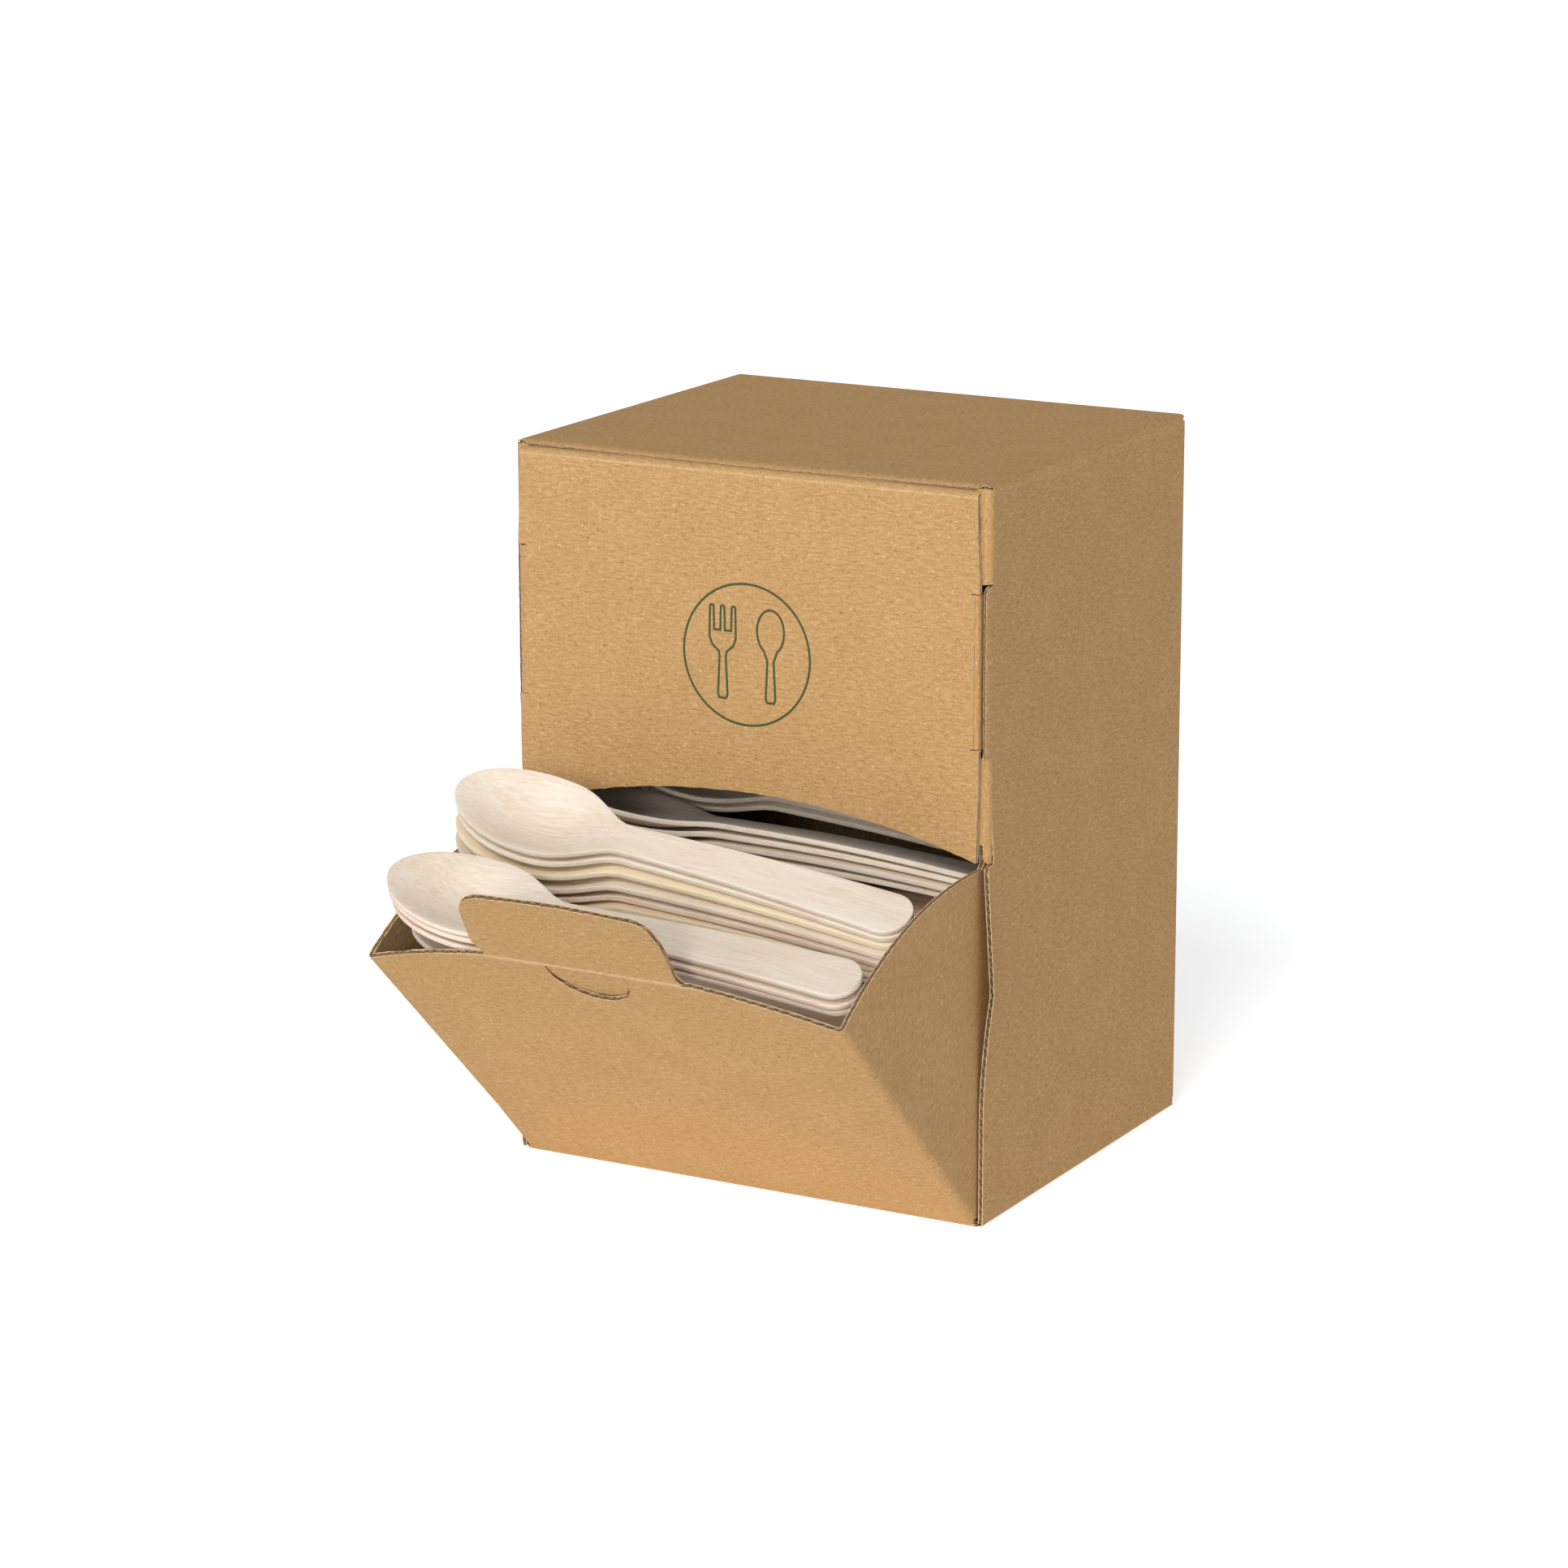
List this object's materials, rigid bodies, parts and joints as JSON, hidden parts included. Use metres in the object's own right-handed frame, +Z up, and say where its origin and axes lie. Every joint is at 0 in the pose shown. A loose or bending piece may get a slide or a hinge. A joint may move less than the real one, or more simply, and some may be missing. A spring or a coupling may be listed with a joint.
{
  "type": "cutlery dispenser",
  "caption": "Folded corrugated-board countertop dispenser whose front hopper tips out on a fold line, filled with pressed wooden spoons that lift out.",
  "frame": {"origin": "middle of the carton's bottom face, on the surface it stands on (the hopper that tips out in front isn't counted)", "axes": "+Z up, +X to the right of someone facing the front, front and hopper towards -Y"},
  "size_m": [0.1719, 0.2687, 0.237],
  "materials": {
    "kraft_board": "matte unbleached kraft liner over corrugated medium",
    "birch_veneer": "unvarnished pressed birch veneer"
  },
  "bodies": {
    "carton": {"right_side_panel": "kraft_board", "left_side_panel": "kraft_board", "top_panel": "kraft_board", "bottom_panel": "kraft_board", "back_panel": "kraft_board", "rear_tuck_flap": "kraft_board", "rear_dust_flap_right": "kraft_board", "rear_dust_flap_left": "kraft_board", "glue_flap": "kraft_board", "front_dust_flap_right": "kraft_board", "front_dust_flap_left": "kraft_board", "upper_front_panel": "kraft_board", "front_tuck_flap": "kraft_board", "lock_ear_right": "kraft_board", "lock_ear_left": "kraft_board", "bed_column_front": "birch_veneer", "bed_column_middle": "birch_veneer", "bed_column_rear": "birch_veneer", "bed_column_back": "birch_veneer", "back_spoon_d": "birch_veneer", "back_spoon_c": "birch_veneer", "back_spoon_b": "birch_veneer", "back_spoon_top": "birch_veneer", "loose_spoon_a": "birch_veneer", "loose_spoon_b": "birch_veneer", "loose_spoon_c": "birch_veneer"},
    "hopper": {"hopper_front_panel": "kraft_board", "hopper_wing_right": "kraft_board", "hopper_wing_left": "kraft_board", "hopper_spoons_low": "birch_veneer", "hopper_spoons_mid": "birch_veneer", "front_spoon_e": "birch_veneer", "front_spoon_d": "birch_veneer", "front_spoon_c": "birch_veneer", "front_spoon_b": "birch_veneer", "middle_spoon_h": "birch_veneer", "middle_spoon_g": "birch_veneer", "middle_spoon_f": "birch_veneer", "middle_spoon_e": "birch_veneer", "middle_spoon_d": "birch_veneer", "middle_spoon_c": "birch_veneer", "middle_spoon_b": "birch_veneer"},
    "thumb_tab": {"thumb_tab": "kraft_board"},
    "front_spoon": {"front_spoon_top": "birch_veneer"},
    "middle_spoon": {"middle_spoon_top": "birch_veneer"}
  },
  "joints": [
    {"name": "hopper_hinge", "type": "hinge", "parent": "carton", "child": "hopper", "pos_m": [0, -0.0722, 0.0008], "axis": [-1, 0, 0], "range_deg": [0, 8]},
    {"name": "thumb_tab_fold", "type": "hinge", "parent": "hopper", "child": "thumb_tab", "pos_m": [0, -0.16929, 0.09789], "axis": [-1, 0, 0], "range_deg": [-30, 35]},
    {"name": "front_spoon_lift", "type": "slide", "parent": "hopper", "child": "front_spoon", "axis": [0, -0.4191, 0.908], "range_m": [0, 0.06]},
    {"name": "middle_spoon_lift", "type": "slide", "parent": "hopper", "child": "middle_spoon", "axis": [0, -0.4191, 0.908], "range_m": [0, 0.06]}
  ]
}
